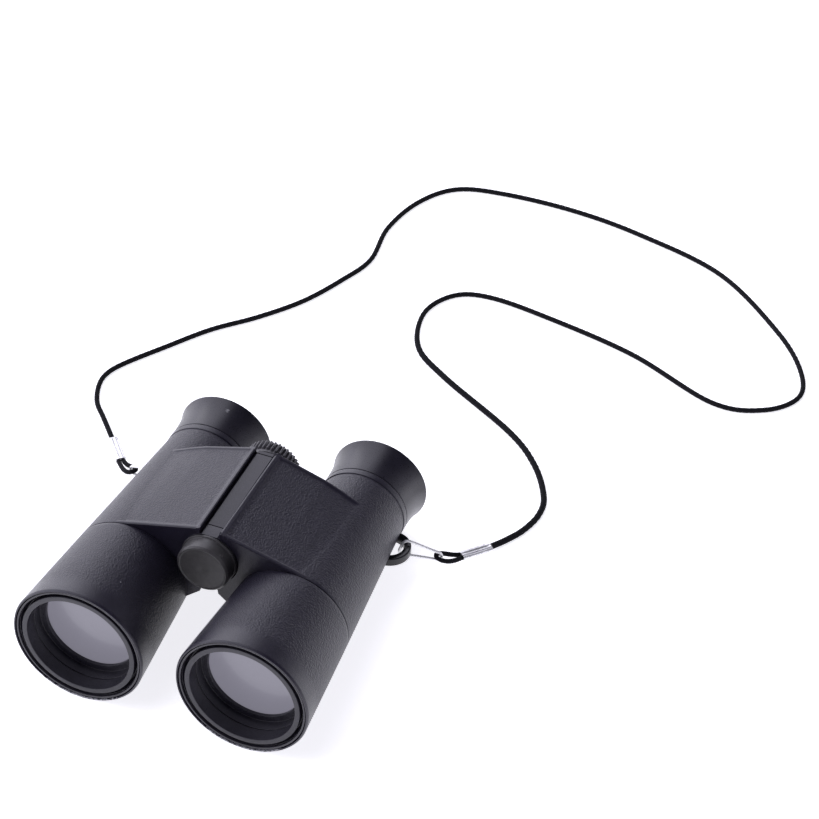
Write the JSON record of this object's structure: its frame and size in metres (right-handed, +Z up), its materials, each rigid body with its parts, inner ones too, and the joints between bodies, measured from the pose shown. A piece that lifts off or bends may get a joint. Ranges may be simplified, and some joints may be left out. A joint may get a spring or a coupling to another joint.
{
  "type": "toy binoculars",
  "caption": "Toy binoculars with grained conical barrels, a hinged bridge, a ribbed focus wheel, flared eyecups and a thin neck cord on wire clips.",
  "frame": {"origin": "on the resting surface, below the middle of the instrument's bounding box", "axes": "+Z up, +Y from the objectives towards the eyecups, +X to the right barrel; the barrels lean 3 degrees down to the rear because the objective rims are larger than the eyecup rims"},
  "size_m": [0.2567, 0.3215, 0.0527],
  "materials": {
    "grained_shell": "leather-grained moulded black plastic",
    "ring": "smooth dark grey plastic",
    "lens": "smooth grey translucent lens",
    "eyecup": "satin black plastic",
    "inner": "plain black plastic",
    "lug": "glossy black plastic",
    "cap": "warm dark grey plastic with a fine texture",
    "steel": "bright plated wire and sleeve",
    "cord": "braided black cord"
  },
  "bodies": {
    "right_half": {"right_body": "grained_shell", "right_objective_tube": "grained_shell", "right_bezel": "ring", "right_lens_retainer": "ring", "right_objective_lens": "lens", "right_eyecup": "eyecup", "right_strap_lug": "lug", "neck_cord": "cord"},
    "left_half": {"left_body": "grained_shell", "left_objective_tube": "grained_shell", "left_bezel": "ring", "left_lens_retainer": "ring", "left_objective_lens": "lens", "left_eyecup": "eyecup", "left_strap_lug": "lug", "hinge_cap": "cap"},
    "focus_wheel_set": {"focus_wheel": "eyecup", "focus_spindle": "steel", "spindle_washer": "steel"},
    "right_ocular_carriage": {"focus_nut": "inner", "right_ocular_tube": "inner", "right_ocular_lens": "lens"},
    "left_ocular_carriage": {"left_focus_arm": "inner", "left_ocular_tube": "inner", "left_ocular_lens": "lens"},
    "right_clip": {"right_wire_clip": "steel", "right_cord_eye": "cord", "right_ferrule": "steel"},
    "left_clip": {"left_wire_clip": "steel", "left_cord_eye": "cord", "left_ferrule": "steel"}
  },
  "joints": [
    {"name": "fold", "type": "hinge", "parent": "right_half", "child": "left_half", "pos_m": [0, -0.06037, 0.04259], "axis": [0, 0.9986, -0.0524], "range_deg": [-20, 24]},
    {"name": "focus_turn", "type": "hinge", "parent": "right_half", "child": "focus_wheel_set", "pos_m": [0, 0.03449, 0.03761], "axis": [0, 0.9986, -0.0524], "range_deg": [-180, 180]},
    {"name": "right_ocular_slide", "type": "slide", "parent": "right_half", "child": "right_ocular_carriage", "axis": [0, 0.9986, -0.0524], "range_m": [-0.0031, 0.0031]},
    {"name": "left_ocular_slide", "type": "slide", "parent": "left_half", "child": "left_ocular_carriage", "axis": [0, 0.9986, -0.0524], "range_m": [-0.0031, 0.0031]},
    {"name": "right_clip_swing", "type": "hinge", "parent": "right_half", "child": "right_clip", "pos_m": [0.0456, 0.03655, 0.01186], "axis": [0, 0.0524, 0.9986], "range_deg": [-8, 8]},
    {"name": "left_clip_swing", "type": "hinge", "parent": "left_half", "child": "left_clip", "pos_m": [-0.0456, 0.03655, 0.01186], "axis": [0, 0.0524, 0.9986], "range_deg": [-8, 8]}
  ],
  "couplings": [
    {"joint": "right_ocular_slide", "follows": "focus_turn", "m_per_rad": 0.00095493},
    {"joint": "left_ocular_slide", "follows": "focus_turn", "m_per_rad": 0.00095493}
  ]
}
